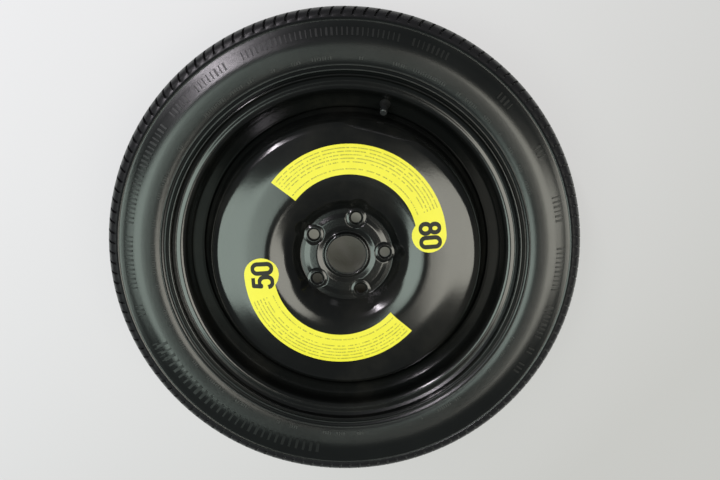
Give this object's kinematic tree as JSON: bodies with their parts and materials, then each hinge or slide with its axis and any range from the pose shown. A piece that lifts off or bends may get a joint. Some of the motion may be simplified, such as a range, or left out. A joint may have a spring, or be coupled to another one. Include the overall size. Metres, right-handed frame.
{
  "type": "space saver spare wheel",
  "caption": "Narrow temporary spare wheel lying flat: domed pressed steel disc with bolt holes and centre bore in a rolled rim, thin tyre, snap-in valve with cap, yellow speed labels.",
  "frame": {"origin": "centre of the bore in the plane where the disc bolts against the hub", "axes": "+Z along the wheel's axis towards its outer side, which faces up; the wheel lies on its rear sidewall; +Y towards the valve's side"},
  "size_m": [0.673, 0.673, 0.137],
  "materials": {
    "tyre_rubber": "dull moulded rubber",
    "black_paint": "gloss black enamel on steel",
    "label_film": "printed adhesive film",
    "valve_rubber": "matt",
    "cap_plastic": "satin moulded plastic",
    "brass": "turned",
    "steel": "drawn wire",
    "gasket": "smooth"
  },
  "bodies": {
    "wheel": {"tyre": "tyre_rubber", "rim": "black_paint", "wheel_disc": "black_paint", "disc_welds": "black_paint", "upper_label": "label_film", "lower_label": "label_film", "valve_rubber": "valve_rubber", "valve_stem": "brass", "core_plug": "brass", "core_barrel": "brass", "core_gasket": "gasket", "core_spring": "steel"},
    "cap": {"valve_cap": "cap_plastic"},
    "valve_pin": {"core_pin": "steel", "core_cup": "brass", "core_cup_seal": "valve_rubber"}
  },
  "joints": [
    {"name": "cap_unscrew", "type": "slide", "parent": "wheel", "child": "cap", "axis": [-0.1497, -0.5832, 0.7984], "range_m": [0, 0.012]},
    {"name": "pin_press", "type": "slide", "parent": "wheel", "child": "valve_pin", "axis": [0.1497, 0.5832, -0.7984], "range_m": [0, 0.0015], "stiffness_N_per_m": 1500, "springref_m": -0.001, "deforming": ["core_spring"]}
  ]
}
